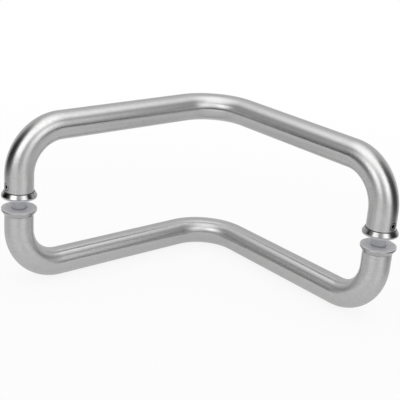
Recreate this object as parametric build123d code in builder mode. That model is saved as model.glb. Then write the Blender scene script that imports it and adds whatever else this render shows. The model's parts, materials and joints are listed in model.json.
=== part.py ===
"""Back-to-back pair of V-bent tubular pull handles for a glass door.

The two handles stand opposite each other on the two faces of the glass. Each is
one hollow stainless tube with three bends: a corner bend above each foot, and an
apex bend in the plane of the grip. Each foot sits on a conical collar and a clear
gasket. A threaded stud in a plastic sleeve runs through each hole in the glass.
The lower handle screws onto the studs. The upper handle slips over round posts on
the studs and is held by set screws.

Units are millimetres. X runs along the line of the feet, Y towards the apex of the
V, Z along the studs. The origin is in the middle of the glass, midway between feet.
"""

import os
from math import cos, radians, sin

from build123d import *

os.makedirs("parts", exist_ok=True)

# Handle tube
tube_diameter = 25.0
tube_wall = 1.5
foot_spacing = 305.0
grip_projection = 58.3
grip_half_angle = 45.0
corner_bend_radius = 39.0
apex_bend_radius = 40.6
tube_end_chamfer = 0.5

# Glass, gasket and sleeve
glass_thickness = 10.0
gasket_thickness = 1.0
gasket_inset = 0.15
gasket_edge_round = 0.3
sleeve_diameter = 12.5
sleeve_gasket_clearance = 0.2

# Collar under each foot
collar_height = 4.3
collar_rim_overhang = 2.75
collar_rim_height = 0.9
collar_top_overhang = 0.7
collar_rim_round = 0.5
collar_shoulder_round = 0.8
collar_top_round = 0.3

# Stud, M8, and the parts that it holds
stud_diameter = 8.0
stud_length = 40.0
stud_end_chamfer = 0.8
stud_hole_clearance = 0.25
thread_clearance = 0.05
stud_end_gap = 0.8

# Pieces fixed inside the ends of the tubes
insert_bend_gap = 0.6
insert_clearance = 0.03
insert_edge_chamfer = 0.5

# Round post that the upper handle slips over
post_diameter = 14.0
post_tip_length = 5.4
post_clearance = 0.1
post_edge_chamfer = 0.8
post_groove_depth = 0.8
post_groove_width = 4.4
post_slot_width = 1.8
post_slot_depth = 1.5

# Set screw, M6, and its holes
screw_diameter = 6.0
screw_end_distance = 5.0
screw_recess = 0.4
screw_point_diameter = 4.0
screw_point_length = 0.7
screw_point_gap = 0.05
screw_cone_length = 1.0
screw_edge_chamfer = 0.35
screw_key_flats = 3.0
screw_key_depth = 2.4
screw_tube_hole_diameter = 6.8

# Heights above the middle of the glass
glass_face = glass_thickness / 2
gasket_top = glass_face + gasket_thickness
tube_end = gasket_top + collar_height
grip_axis = glass_face + grip_projection
bend_start = grip_axis - corner_bend_radius
insert_length = bend_start - tube_end - insert_bend_gap
screw_axis = tube_end + screw_end_distance
post_top = screw_axis + post_groove_width / 2 + post_tip_length

# Plan of the V: the apex corner lies behind the line of the feet
half_spacing = foot_spacing / 2
leg_x = sin(radians(grip_half_angle))
leg_y = cos(radians(grip_half_angle))
apex_corner_y = half_spacing * leg_y / leg_x

tube_radius = tube_diameter / 2
tube_bore_radius = tube_radius - tube_wall
insert_radius = tube_bore_radius - insert_clearance
collar_rim_radius = tube_radius + collar_rim_overhang
collar_top_radius = tube_radius + collar_top_overhang
gasket_radius = collar_rim_radius - gasket_inset
sleeve_radius = sleeve_diameter / 2
stud_radius = stud_diameter / 2
tapped_hole_depth = stud_length / 2 - tube_end + stud_end_gap
post_radius = post_diameter / 2
post_groove_radius = post_radius - post_groove_depth
screw_radius = screw_diameter / 2
screw_outer_end_radius = tube_radius - screw_recess

# The feet by name, with the sign of their X
feet = {"left": -1, "right": 1}
# The handles by name, with the sign of their Z
handles = {"upper": 1, "lower": -1}


def foot_profile_plane(hand):
    """Plane through a foot's axis: local x is the radius, local y the height."""
    return Plane(origin=(hand * half_spacing, 0, 0), x_dir=(1, 0, 0), z_dir=(0, -1, 0))


def foot_axis(hand):
    return Axis((hand * half_spacing, 0, 0), (0, 0, 1))


def corner(section, radius, height):
    """The corner of a profile nearest to a radius and height."""
    return section.vertices().sort_by(lambda v: (v.X - radius) ** 2 + (v.Y - height) ** 2)[0]


def screw_plane(hand):
    """Plane across a set screw, facing out, opposite to the leg above the foot."""
    outward = Vector(hand * leg_x, -leg_y, 0)
    return Plane(
        origin=(hand * half_spacing, 0, screw_axis),
        x_dir=(0, 0, 1),
        z_dir=outward,
    )


def bent_tube(side, screw_holes):
    """One handle: a tube swept from foot to foot over three bends."""
    with BuildPart() as tube:
        with BuildLine() as centre_line:
            FilletPolyline(
                (-half_spacing, 0, side * tube_end),
                (-half_spacing, 0, side * grip_axis),
                (0, apex_corner_y, side * grip_axis),
                (half_spacing, 0, side * grip_axis),
                (half_spacing, 0, side * tube_end),
                radius=(corner_bend_radius, apex_bend_radius, corner_bend_radius),
            )
        foot_plane = Plane(origin=(-half_spacing, 0, side * tube_end), z_dir=(0, 0, side))
        with BuildSketch(foot_plane):
            Circle(tube_radius)
        sweep(path=centre_line.line)
        ends = tube.faces().filter_by(Axis.Z).filter_by_position(
            Axis.Z, side * tube_end - 0.01, side * tube_end + 0.01
        )
        chamfer(ends.edges(), length=tube_end_chamfer)
        with BuildSketch(foot_plane) as bore:
            Circle(tube_bore_radius)
        sweep(sections=bore.sketch, path=centre_line.line, mode=Mode.SUBTRACT)
        if screw_holes:
            for hand in feet.values():
                with BuildSketch(screw_plane(hand)):
                    Circle(screw_tube_hole_diameter / 2)
                extrude(amount=tube_radius + tube_wall, mode=Mode.SUBTRACT)
    return tube.part


def collar(hand, side):
    """Conical metal collar between a tube end and its gasket."""
    bore_radius = stud_radius + stud_hole_clearance
    shoulder = gasket_top + collar_rim_height
    with BuildPart() as ring:
        with BuildSketch(foot_profile_plane(hand)) as section:
            with BuildLine():
                Polyline(
                    (bore_radius, side * gasket_top),
                    (collar_rim_radius, side * gasket_top),
                    (collar_rim_radius, side * shoulder),
                    (collar_top_radius, side * tube_end),
                    (bore_radius, side * tube_end),
                    close=True,
                )
            make_face()
            fillet(corner(section, collar_rim_radius, side * gasket_top), radius=collar_rim_round)
            fillet(corner(section, collar_rim_radius, side * shoulder), radius=collar_shoulder_round)
            fillet(corner(section, collar_top_radius, side * tube_end), radius=collar_top_round)
        revolve(axis=foot_axis(hand))
    return ring.part


def gasket(hand, side):
    """Clear washer that keeps the collar off the glass."""
    with BuildPart() as washer:
        with BuildSketch(Plane(origin=(hand * half_spacing, 0, side * glass_face), z_dir=(0, 0, side))):
            Circle(gasket_radius)
            Circle(sleeve_radius + sleeve_gasket_clearance, mode=Mode.SUBTRACT)
        extrude(amount=gasket_thickness)
        rim = washer.edges().filter_by(GeomType.CIRCLE).sort_by(SortBy.RADIUS)[-2:]
        fillet(rim, radius=gasket_edge_round)
    return washer.part


def sleeve(hand):
    """Plastic tube around the stud in the hole of the glass."""
    with BuildPart() as tube:
        with BuildSketch(Plane(origin=(hand * half_spacing, 0, -gasket_top), z_dir=(0, 0, 1))):
            Circle(sleeve_radius)
            Circle(stud_radius + stud_hole_clearance, mode=Mode.SUBTRACT)
        extrude(amount=2 * gasket_top)
    return tube.part


def stud(hand):
    """Threaded rod through the glass, drawn at its outside diameter."""
    with BuildPart() as rod:
        with BuildSketch(Plane(origin=(hand * half_spacing, 0, -stud_length / 2), z_dir=(0, 0, 1))):
            Circle(stud_radius)
        extrude(amount=stud_length)
        chamfer(rod.edges().filter_by(GeomType.CIRCLE), length=stud_end_chamfer)
    return rod.part


def lower_insert(hand):
    """Plug in the end of the lower tube, tapped for the stud."""
    start = Plane(origin=(hand * half_spacing, 0, -tube_end), z_dir=(0, 0, -1))
    with BuildPart() as plug:
        with BuildSketch(start):
            Circle(insert_radius)
        extrude(amount=insert_length)
        chamfer(plug.faces().sort_by(Axis.Z)[0].edges(), length=insert_edge_chamfer)
        with BuildSketch(start):
            Circle(stud_radius + thread_clearance)
        extrude(amount=tapped_hole_depth, mode=Mode.SUBTRACT)
    return plug.part


def upper_insert(hand):
    """Ring in the end of the upper tube, bored for the post and tapped for the set screw."""
    start = Plane(origin=(hand * half_spacing, 0, tube_end), z_dir=(0, 0, 1))
    with BuildPart() as socket:
        with BuildSketch(start):
            Circle(insert_radius)
        extrude(amount=insert_length)
        chamfer(socket.faces().sort_by(Axis.Z)[-1].edges(), length=insert_edge_chamfer)
        with BuildSketch(start):
            Circle(post_radius + post_clearance)
        extrude(amount=insert_length, mode=Mode.SUBTRACT)
        with BuildSketch(screw_plane(hand)):
            Circle(screw_radius + thread_clearance)
        extrude(amount=tube_radius, mode=Mode.SUBTRACT)
    return socket.part


def post(hand):
    """Round nut on the stud, with a groove for the set screw and a driver slot."""
    hole_radius = stud_radius + thread_clearance
    with BuildPart() as nut:
        with BuildSketch(foot_profile_plane(hand)):
            with BuildLine():
                Polyline(
                    (hole_radius, tube_end),
                    (post_radius, tube_end),
                    (post_radius, screw_axis - post_groove_width / 2),
                    (post_groove_radius, screw_axis - post_groove_width / 2),
                    (post_groove_radius, screw_axis + post_groove_width / 2),
                    (post_radius, screw_axis + post_groove_width / 2),
                    (post_radius, post_top - post_edge_chamfer),
                    (post_radius - post_edge_chamfer, post_top),
                    (hole_radius, post_top),
                    close=True,
                )
            make_face()
        revolve(axis=foot_axis(hand))
        with BuildSketch(Plane(origin=(hand * half_spacing, 0, post_top), z_dir=(0, 0, 1))):
            Rectangle(post_diameter, post_slot_width)
        extrude(amount=-post_slot_depth, mode=Mode.SUBTRACT)
    return nut.part


def set_screw(hand):
    """Socket set screw with a flat point, its outer end just below the tube's surface."""
    point_end = post_groove_radius + screw_point_gap
    point_radius = screw_point_diameter / 2
    across = screw_plane(hand)
    along = Plane(origin=across.origin, x_dir=(0, 0, 1), z_dir=across.z_dir.cross(Vector(0, 0, 1)))
    outer_end = Plane(
        origin=across.origin + across.z_dir * screw_outer_end_radius,
        x_dir=(0, 0, 1),
        z_dir=across.z_dir,
    )
    side_sign = along.y_dir.dot(across.z_dir)
    with BuildPart() as screw:
        with BuildSketch(along):
            with BuildLine():
                Polyline(
                    (0, side_sign * point_end),
                    (point_radius, side_sign * point_end),
                    (point_radius, side_sign * (point_end + screw_point_length)),
                    (screw_radius, side_sign * (point_end + screw_point_length + screw_cone_length)),
                    (screw_radius, side_sign * (screw_outer_end_radius - screw_edge_chamfer)),
                    (screw_radius - screw_edge_chamfer, side_sign * screw_outer_end_radius),
                    (0, side_sign * screw_outer_end_radius),
                    close=True,
                )
            make_face()
        revolve(axis=Axis(across.origin, across.z_dir))
        with BuildSketch(outer_end):
            RegularPolygon(screw_key_flats / 2, 6, major_radius=False)
        extrude(amount=-screw_key_depth, mode=Mode.SUBTRACT)
    return screw.part


def save(name, piece):
    piece.label = name
    export_step(piece, f"parts/{name}.step")


save("upper_tube", bent_tube(handles["upper"], screw_holes=True))
save("lower_tube", bent_tube(handles["lower"], screw_holes=False))
for foot, hand in feet.items():
    for handle, side in handles.items():
        save(f"{handle}_collar_{foot}", collar(hand, side))
        save(f"{handle}_gasket_{foot}", gasket(hand, side))
    save(f"upper_insert_{foot}", upper_insert(hand))
    save(f"lower_insert_{foot}", lower_insert(hand))
    save(f"post_{foot}", post(hand))
    save(f"stud_{foot}", stud(hand))
    save(f"sleeve_{foot}", sleeve(hand))
    save(f"set_screw_{foot}", set_screw(hand))
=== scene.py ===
"""Dresses a back-to-back pair of V-bent door pull handles in brushed stainless steel.

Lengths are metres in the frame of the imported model: X along the line of the feet, Y
towards the apex of the V, Z up. Azimuths run from -Y, the camera's side, towards +X, and
elevations from the horizon, both in degrees. The lower handle lies on the floor on its
grip, and the upper one stands on it, with a gap between the feet where the glass of the
door goes.
"""

import json
from collections import namedtuple
from math import cos, pi, radians, sin, tan

import bmesh
import bpy
from mathutils import Matrix, Vector

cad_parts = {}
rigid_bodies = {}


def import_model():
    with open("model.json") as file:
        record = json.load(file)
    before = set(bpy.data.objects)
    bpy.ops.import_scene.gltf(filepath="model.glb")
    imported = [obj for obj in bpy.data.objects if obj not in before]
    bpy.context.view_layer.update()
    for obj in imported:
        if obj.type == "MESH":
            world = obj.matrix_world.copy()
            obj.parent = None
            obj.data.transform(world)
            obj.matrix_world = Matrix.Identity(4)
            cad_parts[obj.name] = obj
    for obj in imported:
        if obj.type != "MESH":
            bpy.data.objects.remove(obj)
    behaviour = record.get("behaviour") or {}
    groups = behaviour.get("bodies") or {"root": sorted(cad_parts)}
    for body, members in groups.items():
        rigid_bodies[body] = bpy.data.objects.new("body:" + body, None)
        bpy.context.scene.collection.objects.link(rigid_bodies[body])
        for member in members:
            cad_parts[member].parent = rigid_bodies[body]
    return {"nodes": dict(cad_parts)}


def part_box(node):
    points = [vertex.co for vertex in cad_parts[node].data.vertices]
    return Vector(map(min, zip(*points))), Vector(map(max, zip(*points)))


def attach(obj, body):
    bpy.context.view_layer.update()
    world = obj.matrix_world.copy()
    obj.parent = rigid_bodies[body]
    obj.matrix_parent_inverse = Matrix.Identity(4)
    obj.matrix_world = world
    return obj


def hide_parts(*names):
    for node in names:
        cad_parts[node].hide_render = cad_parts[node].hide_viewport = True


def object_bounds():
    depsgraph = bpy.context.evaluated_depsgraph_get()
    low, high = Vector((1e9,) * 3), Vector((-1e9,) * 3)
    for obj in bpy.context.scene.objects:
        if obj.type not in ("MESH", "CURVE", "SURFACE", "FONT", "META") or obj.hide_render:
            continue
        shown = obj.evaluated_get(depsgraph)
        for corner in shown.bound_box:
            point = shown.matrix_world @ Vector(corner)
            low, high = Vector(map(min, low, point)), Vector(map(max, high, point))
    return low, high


for leftover in list(bpy.data.objects):
    bpy.data.objects.remove(leftover, do_unlink=True)

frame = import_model()
nodes = frame["nodes"]
cad_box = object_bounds()

feet = {"left": -1, "right": 1}
handles = {"upper": 1, "lower": -1}

# Sizes of the handles, read from the frame
tube_low, tube_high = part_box("upper_tube")
collar_low, collar_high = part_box("upper_collar_right")
screw_low, screw_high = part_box("set_screw_right")
glass_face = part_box("upper_gasket_right")[0][2]
half_spacing = (collar_low[0] + collar_high[0]) / 2
tube_radius = tube_high[0] - half_spacing
tube_end = tube_low[2]
grip_axis = tube_high[2] - tube_radius
screw_height = (screw_low[2] + screw_high[2]) / 2
floor_height = cad_box[0][2]

# Sizes of the handles that their boxes do not give
tube_wall = 0.0015
tube_end_chamfer = 0.0005
corner_bend_radius = 0.039
apex_bend_radius = 0.0406
grip_half_angle = radians(45)
screw_hole_radius = 0.0034
screw_recess = 0.0004

# A drill for a screw hole is centred on the tube's skin and stops short of its axis
drill_length = 2 * tube_radius - 4 * tube_wall

# Bright ring on the face of a set screw, with black painted shade inside and outside it, and
# depths at which its socket goes from lit to the black of painted shade
screw_mouth_radius = 0.0019
screw_rim_radius = 0.0026
screw_edge_fade = 0.0002
socket_black_depth = 0.0003
socket_lit_depth = socket_black_depth / 4

# Painted shade: a dark seam at the top of an upper collar, and a darker band on a sleeve near the glass
seam_shade_start_depth = 0.0003
seam_shade_full_depth = seam_shade_start_depth / 3
sleeve_shade_width = 0.0009

# Fineness of the tube meshes
ring_points = 96
bend_steps = 40
hole_points = 48
weld_distance = 1e-6
sharp_angle = radians(30)

# Material slots of the upper tube after its brushed steel, for painted shade. The faces that get
# them are found within a margin, and the wall of a screw hole by how far it leans along the hole
seam_slot = 1
hole_slot = 2
cut_margin = 0.01
hole_wall_lean = 0.5

# Camera, fitted to the outlines of the tubes in the photograph, with its angles in degrees
camera_azimuth = 4.36
camera_elevation = 20.37
camera_roll = 4.30
camera_distance = 0.80122
camera_aim_right = 0.00152
camera_aim_up = 0.01702
camera_clip_start = 0.01
image_pixels = 400
focal_pixels = 953.2
sensor_width = 36.0

# Floor, and how much of its white hides the shadow near the object
floor_half_width = 0.82
floor_front = -0.76
floor_back = 1.6
floor_white_near = 0.86
floor_shadow_reach = 0.35
floor_white_from = 2 * floor_shadow_reach

# What the metal shows: a floor with painted light and shade, brighter in front and darker
# behind, walls, softboxes and flags. Trial renders were compared with the photograph to find
# these sizes and levels
floor_in_metal_front = 1.15
floor_in_metal_back = 0.66
floor_in_metal_near = 0.78
floor_grading_front = -0.4
floor_grading_back = 0.5

# Walls of the studio, each over the ones before it. Their sides are azimuths, and their
# low and high edges elevations
Wall = namedtuple("Wall", "brightness left right low high edge")
studio_front = 0.61
studio_walls = (
    Wall(brightness=0.27, left=-115, right=-56, low=-100, high=100, edge=10),
    Wall(brightness=0.37, left=-115, right=-56, low=46, high=120, edge=20),
    Wall(brightness=0.14, left=56, right=115, low=-100, high=100, edge=10),
    Wall(brightness=0.36, left=56, right=115, low=46, high=120, edge=20),
    Wall(brightness=0.82, left=115, right=240, low=-100, high=100, edge=15),
    Wall(brightness=0.80, left=-240, right=-115, low=-100, high=100, edge=15),
    Wall(brightness=0.05, left=-115, right=115, low=-100, high=1.3, edge=1.5),
)

# Softboxes and dark flags, which fade out over soft edges. A standing softbox faces the Z
# axis from an azimuth, and the other panels face a set way
Panel = namedtuple("Panel", "place facing half_width half_height soft brightness")
Softbox = namedtuple("Softbox", "azimuth height half_width half_height soft brightness")
softbox_distance = 1.0
softbox_top = Panel(
    place=(-0.05, -0.17, softbox_distance),
    facing=(0, 0, -1),
    half_width=0.58,
    half_height=0.64,
    soft=0.44,
    brightness=2.1,
)
standing_softboxes = {
    "softbox_left": Softbox(
        azimuth=-30,
        height=0.63,
        half_width=0.39,
        half_height=0.31,
        soft=0.20,
        brightness=2.95,
    ),
    "softbox_right": Softbox(
        azimuth=48,
        height=0.69,
        half_width=0.38,
        half_height=0.45,
        soft=0.35,
        brightness=2.6,
    ),
}
flags = {
    "flag_left": Panel(
        place=(-0.25, -0.012, 0.137),
        facing=(1, 0, 0),
        half_width=0.045,
        half_height=0.135,
        soft=0.04,
        brightness=0.0,
    ),
    "flag_right": Panel(
        place=(0.262, -0.005, 0.14),
        facing=(-1, 0, 0),
        half_width=0.06,
        half_height=0.185,
        soft=0.054,
        brightness=0.065,
    ),
}


# Meshes


def mesh_data(name, mesh):
    """The data of an edited mesh, which is then freed."""
    data = bpy.data.meshes.new(name)
    mesh.to_mesh(data)
    mesh.free()
    return data


def placed(name, data):
    """An object in the scene with its data."""
    made = bpy.data.objects.new(name, data)
    bpy.context.scene.collection.objects.link(made)
    return made


def centre_line(side):
    """Stations along a handle's centre line, foot to foot, as (point, direction)."""
    apex_y = half_spacing / tan(grip_half_angle)
    corners = [
        Vector((-half_spacing, 0, side * tube_end)),
        Vector((-half_spacing, 0, side * grip_axis)),
        Vector((0, apex_y, side * grip_axis)),
        Vector((half_spacing, 0, side * grip_axis)),
        Vector((half_spacing, 0, side * tube_end)),
    ]
    bend_radii = (corner_bend_radius, apex_bend_radius, corner_bend_radius)
    up = (corners[1] - corners[0]).normalized()
    stations = [(corners[0] + up * tube_end_chamfer, up)]
    for before, corner, after, radius in zip(corners, corners[1:], corners[2:], bend_radii):
        way_in = (corner - before).normalized()
        way_out = (after - corner).normalized()
        turn = way_in.angle(way_out)
        inward = (way_out - way_in * way_in.dot(way_out)).normalized()
        centre = corner - way_in * radius * tan(turn / 2) + inward * radius
        for step in range(bend_steps + 1):
            angle = turn * step / bend_steps
            point = centre + radius * (way_in * sin(angle) - inward * cos(angle))
            stations.append((point, way_in * cos(angle) + inward * sin(angle)))
    stations.append((corners[-1] + up * tube_end_chamfer, -up))
    return stations


def ring(mesh, point, across, along, radius):
    """A ring of vertices round a point of the centre line."""
    other = along.cross(across)
    turns = [2 * pi * i / ring_points for i in range(ring_points)]
    return [mesh.verts.new(point + radius * (across * cos(t) + other * sin(t))) for t in turns]


def skin(mesh, chain):
    """Faces from each ring of a closed chain to the next, mapped in metres along and turns round."""
    tube_map = mesh.loops.layers.uv.new("tube")
    for (ring_a, s_a), (ring_b, s_b) in zip(chain, chain[1:] + chain[:1]):
        for i in range(ring_points):
            j = (i + 1) % ring_points
            face = mesh.faces.new((ring_a[i], ring_a[j], ring_b[j], ring_b[i]))
            face.smooth = True
            corners = ((s_a, i), (s_a, i + 1), (s_b, i + 1), (s_b, i))
            for loop, (s, step) in zip(face.loops, corners):
                loop[tube_map].uv = (s, step / ring_points)
    bmesh.ops.recalc_face_normals(mesh, faces=mesh.faces)


def bent_tube(name, side):
    """One handle as a closed hollow mesh with chamfered ends."""
    stations = centre_line(side)
    mesh = bmesh.new()
    first_across = Vector((1, 0, 0))
    across = first_across
    last_point, last_along = stations[0]
    travelled = 0.0
    outer = []
    inner = []
    for point, along in stations:
        across = last_along.rotation_difference(along) @ across
        travelled += (point - last_point).length
        outer.append((ring(mesh, point, across, along, tube_radius), travelled))
        inner.append((ring(mesh, point, across, along, tube_radius - tube_wall), travelled))
        last_point, last_along = point, along
    lips = []
    for end, sign, lip_across in ((0, -1, first_across), (-1, 1, across)):
        point, along = stations[end]
        lip_point = point + along * sign * tube_end_chamfer
        lip_travelled = outer[end][1] + sign * tube_end_chamfer
        for radius in (tube_radius - tube_end_chamfer, tube_radius - tube_wall):
            lips.append((ring(mesh, lip_point, lip_across, along, radius), lip_travelled))
    first_outer, first_inner, last_outer, last_inner = lips
    skin(mesh, [first_outer, *outer, last_outer, last_inner, *inner[::-1], first_inner])
    data = mesh_data(name, mesh)
    data.set_sharp_from_angle(angle=sharp_angle)
    return placed(name, data)


def screw_outward(hand):
    """The way that a set screw faces, out of the corner of its foot."""
    return Vector((hand * sin(grip_half_angle), -cos(grip_half_angle), 0))


def screw_centre(hand):
    """Where a set screw's axis crosses the axis of its foot."""
    return Vector((hand * half_spacing, 0, screw_height))


def screw_drill(hand):
    """A rod through the outer side of a foot, where the hole of its set screw goes."""
    outward = screw_outward(hand)
    place = screw_centre(hand) + outward * tube_radius
    turn = Vector((0, 0, 1)).rotation_difference(outward).to_matrix().to_4x4()
    mesh = bmesh.new()
    bmesh.ops.create_cone(
        mesh,
        cap_ends=True,
        segments=hole_points,
        radius1=screw_hole_radius,
        radius2=screw_hole_radius,
        depth=drill_length,
        matrix=Matrix.Translation(place) @ turn,
    )
    return placed("drill", mesh_data("drill", mesh))


def cut_screw_holes(piece):
    """Cuts the two holes for the set screws, on the outside of each corner."""
    for hand in feet.values():
        drill = screw_drill(hand)
        cut = piece.modifiers.new("hole", "BOOLEAN")
        cut.operation = "DIFFERENCE"
        cut.solver = "EXACT"
        cut.object = drill
        bpy.context.view_layer.update()
        graph = bpy.context.evaluated_depsgraph_get()
        cut_data = bpy.data.meshes.new_from_object(piece.evaluated_get(graph))
        piece.modifiers.clear()
        piece.data = cut_data
        bpy.data.objects.remove(drill, do_unlink=True)
    mesh = bmesh.new()
    mesh.from_mesh(piece.data)
    bmesh.ops.remove_doubles(mesh, verts=mesh.verts, dist=weld_distance)
    mesh.to_mesh(piece.data)
    mesh.free()
    piece.data.set_sharp_from_angle(angle=sharp_angle)


def mark_cuts(piece):
    """Gives the cut ends of the upper tube and the walls of its screw holes their own slots."""
    seam_top = tube_end + tube_end_chamfer * (1 - cut_margin)
    hole_reach = screw_hole_radius * (1 + cut_margin)
    for face in piece.data.polygons:
        if face.center.z < seam_top:
            face.material_index = seam_slot
        hand = 1 if face.center.x > 0 else -1
        from_axis = face.center - screw_centre(hand)
        outward = screw_outward(hand)
        across = from_axis - outward * from_axis.dot(outward)
        near_screw = across.length < hole_reach and from_axis.dot(outward) > 0
        if near_screw and abs(face.normal.dot(outward)) < hole_wall_lean:
            face.material_index = hole_slot


# Shader nodes

# Where a mix node has its first and second input and its output, for values and colours
mix_sockets = {"FLOAT": (2, 3, 0), "RGBA": (6, 7, 2)}


def new_material(name):
    """A material with its nodes and its main shader."""
    material = bpy.data.materials.new(name)
    material.use_nodes = True
    return material, material.node_tree, material.node_tree.nodes["Principled BSDF"]


def add(tree, kind, **settings):
    """A shader node with its settings."""
    made = tree.nodes.new(kind)
    for key, value in settings.items():
        setattr(made, key, value)
    return made


def feed(tree, value, socket):
    """Sets an input to a number or a colour, or links it to another node's output."""
    if isinstance(value, (int, float)):
        socket.default_value = value
    elif isinstance(value, tuple):
        socket.default_value = (*value, 1)
    else:
        tree.links.new(value, socket)


def object_place(tree):
    """Coordinates in an object's own frame."""
    return add(tree, "ShaderNodeTexCoord").outputs["Object"]


def separated(tree, coordinates):
    """The X, Y and Z of coordinates, by name."""
    made = add(tree, "ShaderNodeSeparateXYZ")
    tree.links.new(coordinates, made.inputs["Vector"])
    return made.outputs


def stretched(tree, coordinates, scale):
    """Coordinates scaled along each axis."""
    made = add(tree, "ShaderNodeVectorMath", operation="MULTIPLY")
    made.inputs[1].default_value = scale
    tree.links.new(coordinates, made.inputs[0])
    return made.outputs["Vector"]


def noise(tree, coordinates, detail, scale=1.0, roughness=0.5):
    """A noise texture on given coordinates."""
    made = add(tree, "ShaderNodeTexNoise")
    made.inputs["Scale"].default_value = scale
    made.inputs["Detail"].default_value = detail
    made.inputs["Roughness"].default_value = roughness
    tree.links.new(coordinates, made.inputs["Vector"])
    return made.outputs["Fac"]


def spread(tree, value, to_low, to_high, low=0.3, high=0.7):
    """A value mapped from the range low to high to another range."""
    made = add(tree, "ShaderNodeMapRange")
    for name, number in (("From Min", low), ("From Max", high), ("To Min", to_low), ("To Max", to_high)):
        made.inputs[name].default_value = number
    tree.links.new(value, made.inputs["Value"])
    return made.outputs["Result"]


def soft_step(tree, value, start, end):
    """0 before start and 1 after end, with a smooth rise between."""
    made = add(tree, "ShaderNodeMapRange", interpolation_type="SMOOTHSTEP")
    made.inputs["From Min"].default_value = start
    made.inputs["From Max"].default_value = end
    tree.links.new(value, made.inputs["Value"])
    return made.outputs["Result"]


def computed(tree, operation, first, second=None):
    """A math node on one or two values."""
    made = add(tree, "ShaderNodeMath", operation=operation)
    feed(tree, first, made.inputs[0])
    if second is not None:
        feed(tree, second, made.inputs[1])
    return made.outputs["Value"]


def total(tree, first, second, share):
    """The first value plus a share of the second."""
    made = add(tree, "ShaderNodeMath", operation="MULTIPLY_ADD")
    tree.links.new(second, made.inputs[0])
    made.inputs[1].default_value = share
    tree.links.new(first, made.inputs[2])
    return made.outputs["Value"]


def between(tree, value, low, high, edge):
    """1 between low and high, fading to 0 over soft edges."""
    above = soft_step(tree, value, low - edge, low + edge)
    past = soft_step(tree, value, high - edge, high + edge)
    return computed(tree, "SUBTRACT", above, past)


def hypotenuse(tree, first, second):
    """The length across two values at right angles."""
    squares = [computed(tree, "MULTIPLY", value, value) for value in (first, second)]
    return computed(tree, "SQRT", computed(tree, "ADD", *squares))


def chosen(tree, factor, first, second, kind="FLOAT"):
    """The first value or colour where the factor is 0 and the second where it is 1."""
    made = add(tree, "ShaderNodeMix", data_type=kind)
    first_at, second_at, result_at = mix_sockets[kind]
    tree.links.new(factor, made.inputs[0])
    feed(tree, first, made.inputs[first_at])
    feed(tree, second, made.inputs[second_at])
    return made.outputs[result_at]


def chosen_shader(tree, factor, first, second):
    """The first shader where the factor is 0 and the second where it is 1."""
    made = add(tree, "ShaderNodeMixShader")
    tree.links.new(factor, made.inputs["Fac"])
    tree.links.new(first, made.inputs[1])
    tree.links.new(second, made.inputs[2])
    return made.outputs["Shader"]


def tinted(tree, value, dark, light, low=0.3, high=0.7):
    """A colour that goes from dark to light as a value goes from low to high."""
    made = add(tree, "ShaderNodeValToRGB")
    made.color_ramp.elements[0].position = low
    made.color_ramp.elements[0].color = (*dark, 1)
    made.color_ramp.elements[1].position = high
    made.color_ramp.elements[1].color = (*light, 1)
    tree.links.new(value, made.inputs["Fac"])
    return made.outputs["Color"]


def grey(level):
    """A neutral colour."""
    return (level, level, level)


def bumped(tree, value, strength, distance):
    """A normal from a height."""
    made = add(tree, "ShaderNodeBump")
    made.inputs["Strength"].default_value = strength
    made.inputs["Distance"].default_value = distance
    tree.links.new(value, made.inputs["Height"])
    return made.outputs["Normal"]


# Materials


def rolled_out_tube(tree):
    """Seamless coordinates for grain: along the tube, and round it as on a straight tube."""
    parts = separated(tree, add(tree, "ShaderNodeUVMap", uv_map="tube").outputs["UV"])
    angle = computed(tree, "MULTIPLY", parts["Y"], 2 * pi)
    joined = add(tree, "ShaderNodeCombineXYZ")
    tree.links.new(parts["X"], joined.inputs["X"])
    for operation, axis in (("COSINE", "Y"), ("SINE", "Z")):
        wave = computed(tree, operation, angle)
        tree.links.new(computed(tree, "MULTIPLY", wave, tube_radius), joined.inputs[axis])
    return joined.outputs["Vector"]


def brushed_tube():
    """Satin stainless: a fine grain round the tube, with a ripple and a faint mottle in it."""
    material, tree, shader = new_material("brushed_tube")
    place = rolled_out_tube(tree)
    grain = noise(tree, stretched(tree, place, (2400, 600, 600)), detail=2, roughness=0.6)
    ripple = noise(tree, stretched(tree, place, (700, 350, 350)), detail=2, roughness=0.6)
    mottle = noise(tree, place, detail=4, scale=190, roughness=0.55)
    finish = total(tree, total(tree, grain, mottle, share=0.3), ripple, share=0.3)
    colour = tinted(tree, finish, (0.45, 0.45, 0.448), (0.55, 0.55, 0.548), low=0.55, high=1.0)
    roughness = spread(tree, finish, 0.28, 0.25, low=0.5, high=1.1)
    relief = total(tree, grain, ripple, share=3)
    tangent = add(tree, "ShaderNodeTangent", direction_type="UV_MAP", uv_map="tube")
    tree.links.new(colour, shader.inputs["Base Color"])
    tree.links.new(roughness, shader.inputs["Roughness"])
    tree.links.new(bumped(tree, relief, strength=0.12, distance=0.0002), shader.inputs["Normal"])
    tree.links.new(tangent.outputs["Tangent"], shader.inputs["Tangent"])
    shader.inputs["Metallic"].default_value = 1.0
    shader.inputs["Anisotropic"].default_value = 1.0
    return material


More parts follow.
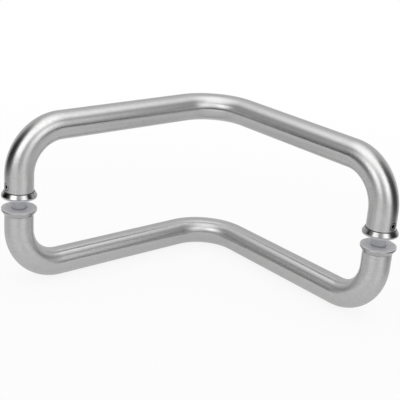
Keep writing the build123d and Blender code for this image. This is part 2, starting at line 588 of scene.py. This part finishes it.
def polished_collar():
    """Turned steel that is bright round the foot, with fine turning marks and painted shade at its seam.
    """
    material, tree, shader = new_material("polished_collar")
    place = object_place(tree)
    marks = noise(tree, stretched(tree, place, (60, 60, 4200)), detail=2)
    smudge = noise(tree, place, detail=3, scale=260)
    both = total(tree, marks, smudge, share=0.5)
    steel = tinted(tree, both, grey(0.37), (0.42, 0.42, 0.416), low=0.5, high=1.0)
    height = separated(tree, place)["Z"]
    # Painted shade: the top of an upper collar, where the tube goes into it, turns dark grey
    seam = soft_step(tree, height, tube_end - seam_shade_start_depth, tube_end - seam_shade_full_depth)
    colour = chosen(tree, seam, steel, grey(0.22), kind="RGBA")
    roughness = spread(tree, both, 0.10, 0.14, low=0.45, high=1.05)
    tangent = add(tree, "ShaderNodeTangent", direction_type="RADIAL", axis="Z")
    tree.links.new(colour, shader.inputs["Base Color"])
    tree.links.new(roughness, shader.inputs["Roughness"])
    tree.links.new(bumped(tree, marks, strength=0.03, distance=0.0001), shader.inputs["Normal"])
    tree.links.new(tangent.outputs["Tangent"], shader.inputs["Tangent"])
    shader.inputs["Metallic"].default_value = 1.0
    shader.inputs["Anisotropic"].default_value = 0.9
    shader.inputs["Anisotropic Rotation"].default_value = 0.25
    return material


def shaded_cut_steel(name, dark, light):
    """Steel of the upper tube's cut ends or hole walls, dull and darkened as painted shade, with blotchy
    tone.
    """
    material, tree, shader = new_material(name)
    blotches = noise(tree, object_place(tree), detail=3, scale=700)
    # Painted shade: the steel is darkened to the greys given, near black in the holes
    tree.links.new(tinted(tree, blotches, grey(dark), grey(light)), shader.inputs["Base Color"])
    tree.links.new(spread(tree, blotches, 0.5, 0.65), shader.inputs["Roughness"])
    shader.inputs["Metallic"].default_value = 0.6
    return material


def fixing_steel():
    """Plain turned steel of the studs, posts and inserts inside the feet."""
    material, tree, shader = new_material("fixing_steel")
    marks = noise(tree, stretched(tree, object_place(tree), (40, 40, 2600)), detail=2)
    colour = tinted(tree, marks, (0.42, 0.42, 0.41), (0.56, 0.56, 0.54))
    tree.links.new(colour, shader.inputs["Base Color"])
    tree.links.new(spread(tree, marks, 0.24, 0.36), shader.inputs["Roughness"])
    tree.links.new(bumped(tree, marks, strength=0.2, distance=0.0002), shader.inputs["Normal"])
    shader.inputs["Metallic"].default_value = 1.0
    return material


def set_screw_steel():
    """Plain steel of the set screws, a little worn. Painted shade makes it black inside the socket,
    round the ring of its face and below the face.
    """
    material, tree, shader = new_material("set_screw_steel")
    place = object_place(tree)
    wear = noise(tree, place, detail=4, scale=900)
    steel = tinted(tree, wear, grey(0.54), grey(0.66))
    parts = separated(tree, place)
    from_foot = computed(tree, "SUBTRACT", computed(tree, "ABSOLUTE", parts["X"]), half_spacing)
    sideways = computed(tree, "MULTIPLY", from_foot, sin(grip_half_angle))
    forward = computed(tree, "MULTIPLY", parts["Y"], cos(grip_half_angle))
    outward = computed(tree, "SUBTRACT", sideways, forward)
    across = computed(tree, "ADD", sideways, forward)
    height = computed(tree, "SUBTRACT", parts["Z"], screw_height)
    face = tube_radius - screw_recess
    lit = soft_step(tree, outward, face - socket_black_depth, face - socket_lit_depth)
    from_axis = hypotenuse(tree, across, height)
    bright = between(tree, from_axis, screw_mouth_radius, screw_rim_radius, screw_edge_fade)
    shown = computed(tree, "MULTIPLY", lit, bright)
    # Painted shade: near black off the ring of the face and below the face
    colour = chosen(tree, shown, grey(0.015), steel, kind="RGBA")
    tree.links.new(colour, shader.inputs["Base Color"])
    tree.links.new(spread(tree, wear, 0.30, 0.42), shader.inputs["Roughness"])
    shader.inputs["Metallic"].default_value = 1.0
    return material


def clear_plastic(name, dark, light, shaded_from=None):
    """Cloudy clear plastic, darkened as painted shade from a given height to the faces of the glass."""
    material, tree, shader = new_material(name)
    place = object_place(tree)
    cloud = noise(tree, place, detail=4, scale=220)
    colour = tinted(tree, cloud, dark, light)
    if shaded_from is not None:
        from_middle = computed(tree, "ABSOLUTE", separated(tree, place)["Z"])
        shade = soft_step(tree, from_middle, shaded_from, glass_face)
        # Painted shade near the glass, where a sleeve goes into a gasket
        colour = chosen(tree, shade, colour, (0.24, 0.245, 0.26), kind="RGBA")
    tree.links.new(colour, shader.inputs["Base Color"])
    tree.links.new(spread(tree, cloud, 0.28, 0.40), shader.inputs["Roughness"])
    tree.links.new(bumped(tree, cloud, strength=0.08, distance=0.0003), shader.inputs["Normal"])
    shader.inputs["Transmission Weight"].default_value = 0.25
    shader.inputs["IOR"].default_value = 1.46
    return material


def dress(piece, *materials):
    """Gives an object its materials, in the order of its slots."""
    piece.data.materials.clear()
    for material in materials:
        piece.data.materials.append(material)


# Object

tube_steel = brushed_tube()
# Cut ends and screw-hole walls of the upper tube, darkened as painted shade
seam_shade_steel = shaded_cut_steel("seam_shade_steel", dark=0.38, light=0.48)
hole_shade_steel = shaded_cut_steel("screw_hole_shade_steel", dark=0.03, light=0.06)
for handle, side in handles.items():
    tube = bent_tube(f"{handle}_handle", side)
    if handle == "upper":
        cut_screw_holes(tube)
        dress(tube, tube_steel, seam_shade_steel, hole_shade_steel)
        mark_cuts(tube)
    else:
        dress(tube, tube_steel)
    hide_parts(f"{handle}_tube")
    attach(tube, "root")

collar_steel = polished_collar()
inner_steel = fixing_steel()
screw_steel = set_screw_steel()
gasket_plastic = clear_plastic("clear_gasket", (0.66, 0.66, 0.685), (0.74, 0.74, 0.765))
sleeve_plastic = clear_plastic(
    "clear_sleeve",
    (0.52, 0.525, 0.55),
    (0.60, 0.605, 0.63),
    shaded_from=glass_face - sleeve_shade_width,
)
for foot in feet:
    for handle in handles:
        dress(nodes[f"{handle}_collar_{foot}"], collar_steel)
        dress(nodes[f"{handle}_gasket_{foot}"], gasket_plastic)
        dress(nodes[f"{handle}_insert_{foot}"], inner_steel)
    dress(nodes[f"post_{foot}"], inner_steel)
    dress(nodes[f"stud_{foot}"], inner_steel)
    dress(nodes[f"sleeve_{foot}"], sleeve_plastic)
    dress(nodes[f"set_screw_{foot}"], screw_steel)


# Studio


def direction(azimuth, elevation):
    """Unit vector at an azimuth and an elevation."""
    a = radians(azimuth)
    e = radians(elevation)
    return Vector((sin(a) * cos(e), -cos(a) * cos(e), sin(e)))


def white_for_lens(tree):
    """1 for rays that show the background to the lens, directly or in metal and plastic."""
    path = add(tree, "ShaderNodeLightPath")
    value = path.outputs["Is Camera Ray"]
    for name in ("Is Glossy Ray", "Is Transmission Ray"):
        value = computed(tree, "MAXIMUM", value, path.outputs[name])
    return value


def floor_material():
    """Pale floor: white to the lens away from the object, with its shadow near it. In the metal it
    glows with painted light and shade, brighter in front and darker behind.
    """
    material, tree, shader = new_material("pale_floor")
    shader.inputs["Base Color"].default_value = (*grey(0.85), 1)
    shader.inputs["Roughness"].default_value = 0.9
    shader.inputs["Specular IOR Level"].default_value = 0.0
    place = object_place(tree)
    reach = add(tree, "ShaderNodeVectorMath", operation="LENGTH")
    tree.links.new(place, reach.inputs[0])
    away = spread(tree, reach.outputs["Value"], 0, 1, low=floor_shadow_reach, high=floor_white_from)
    # Painted light and shade on the floor as the metal sees it, brighter in front, darker behind
    painted_floor_light = spread(
        tree,
        separated(tree, place)["Y"],
        floor_in_metal_front,
        floor_in_metal_back,
        low=floor_grading_front,
        high=floor_grading_back,
    )
    glossy = add(tree, "ShaderNodeLightPath").outputs["Is Glossy Ray"]
    white = add(tree, "ShaderNodeEmission")
    tree.links.new(chosen(tree, glossy, 1.0, painted_floor_light), white.inputs["Strength"])
    near = chosen(tree, glossy, floor_white_near, floor_in_metal_near)
    amount = computed(tree, "MULTIPLY", chosen(tree, away, near, 1.0), white_for_lens(tree))
    surface = chosen_shader(tree, amount, shader.outputs["BSDF"], white.outputs["Emission"])
    tree.links.new(surface, tree.nodes["Material Output"].inputs["Surface"])
    return material


def add_floor():
    """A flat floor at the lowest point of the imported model."""
    data = bpy.data.meshes.new("floor")
    outline = (
        (-floor_half_width, floor_front, 0),
        (floor_half_width, floor_front, 0),
        (floor_half_width, floor_back, 0),
        (-floor_half_width, floor_back, 0),
    )
    data.from_pydata(outline, [], [(0, 1, 2, 3)])
    data.materials.append(floor_material())
    floor = placed("floor", data)
    floor.location.z = floor_height


def wall_mask(tree, azimuth, elevation, wall):
    """1 on a wall of the studio, fading to 0 over its soft edges."""
    across = between(tree, azimuth, wall.left, wall.right, wall.edge)
    upright = between(tree, elevation, wall.low, wall.high, wall.edge)
    return computed(tree, "MULTIPLY", across, upright)


def add_world():
    """White to the lens and plain white light; in the metal, the walls of a studio."""
    world = bpy.data.worlds.new("studio")
    bpy.context.scene.world = world
    world.use_nodes = True
    tree = world.node_tree
    tree.nodes.clear()
    parts = separated(tree, add(tree, "ShaderNodeTexCoord").outputs["Generated"])
    to_degrees = 180 / pi
    towards_lens = computed(tree, "MULTIPLY", parts["Y"], -1)
    turn = computed(tree, "ARCTAN2", parts["X"], towards_lens)
    azimuth = computed(tree, "MULTIPLY", turn, to_degrees)
    elevation = computed(tree, "MULTIPLY", computed(tree, "ARCSINE", parts["Z"]), to_degrees)
    brightness = studio_front
    for wall in studio_walls:
        mask = wall_mask(tree, azimuth, elevation, wall)
        brightness = chosen(tree, mask, brightness, wall.brightness)
    white = add(tree, "ShaderNodeBackground")
    white.inputs["Color"].default_value = (*grey(1), 1)
    in_metal = add(tree, "ShaderNodeBackground")
    in_metal.inputs["Color"].default_value = (*grey(1), 1)
    tree.links.new(brightness, in_metal.inputs["Strength"])
    glossy = add(tree, "ShaderNodeLightPath").outputs["Is Glossy Ray"]
    surface = chosen_shader(tree, glossy, white.outputs["Background"], in_metal.outputs["Background"])
    tree.links.new(surface, add(tree, "ShaderNodeOutputWorld").inputs["Surface"])


def standing_panel(softbox):
    """The panel of a softbox that stands upright and faces the Z axis."""
    outward = direction(softbox.azimuth, 0)
    return Panel(
        place=outward * softbox_distance + Vector((0, 0, softbox.height)),
        facing=-outward,
        half_width=softbox.half_width,
        half_height=softbox.half_height,
        soft=softbox.soft,
        brightness=softbox.brightness,
    )


def panel_material(name, panel):
    """Light of a softbox, or dark of a flag, that fades out over its soft edges."""
    material, tree, shader = new_material(name)
    tree.nodes.remove(shader)
    parts = separated(tree, object_place(tree))
    across = between(tree, parts["X"], -panel.half_width, panel.half_width, panel.soft)
    upright = between(tree, parts["Y"], -panel.half_height, panel.half_height, panel.soft)
    inside = computed(tree, "MULTIPLY", across, upright)
    glow = add(tree, "ShaderNodeEmission")
    glow.inputs["Strength"].default_value = panel.brightness
    clear = add(tree, "ShaderNodeBsdfTransparent")
    surface = chosen_shader(tree, inside, clear.outputs["BSDF"], glow.outputs["Emission"])
    tree.links.new(surface, tree.nodes["Material Output"].inputs["Surface"])
    return material


def add_panel(name, panel):
    """A softbox or flag that shows only in the metal."""
    x = panel.half_width + panel.soft
    y = panel.half_height + panel.soft
    data = bpy.data.meshes.new(name)
    data.from_pydata([(-x, -y, 0), (x, -y, 0), (x, y, 0), (-x, y, 0)], [], [(0, 1, 2, 3)])
    data.materials.append(panel_material(name, panel))
    board = placed(name, data)
    board.location = panel.place
    board.rotation_euler = Vector(panel.facing).to_track_quat("Z", "Y").to_euler()
    board.visible_camera = False
    board.visible_diffuse = False
    board.visible_transmission = False
    board.visible_shadow = False


def add_camera():
    """The photograph's camera, rolled about its own axis and aimed beside the origin."""
    data = bpy.data.cameras.new("camera")
    data.sensor_width = sensor_width
    data.lens = focal_pixels * sensor_width / image_pixels
    data.clip_start = camera_clip_start
    back = direction(camera_azimuth, camera_elevation)
    right = direction(camera_azimuth + 90, 0)
    up = back.cross(right)
    aim = right * camera_aim_right + up * camera_aim_up
    roll = radians(camera_roll)
    rolled_right = right * cos(roll) + up * sin(roll)
    rolled_up = up * cos(roll) - right * sin(roll)
    turn = Matrix((rolled_right, rolled_up, back)).transposed().to_4x4()
    camera = placed("camera", data)
    camera.matrix_world = Matrix.Translation(aim + back * camera_distance) @ turn
    bpy.context.scene.camera = camera


add_floor()
add_world()
add_panel("softbox_top", softbox_top)
for softbox_name, softbox in standing_softboxes.items():
    add_panel(softbox_name, standing_panel(softbox))
for flag_name, flag in flags.items():
    add_panel(flag_name, flag)
add_camera()
bpy.context.scene.view_settings.view_transform = "Standard"
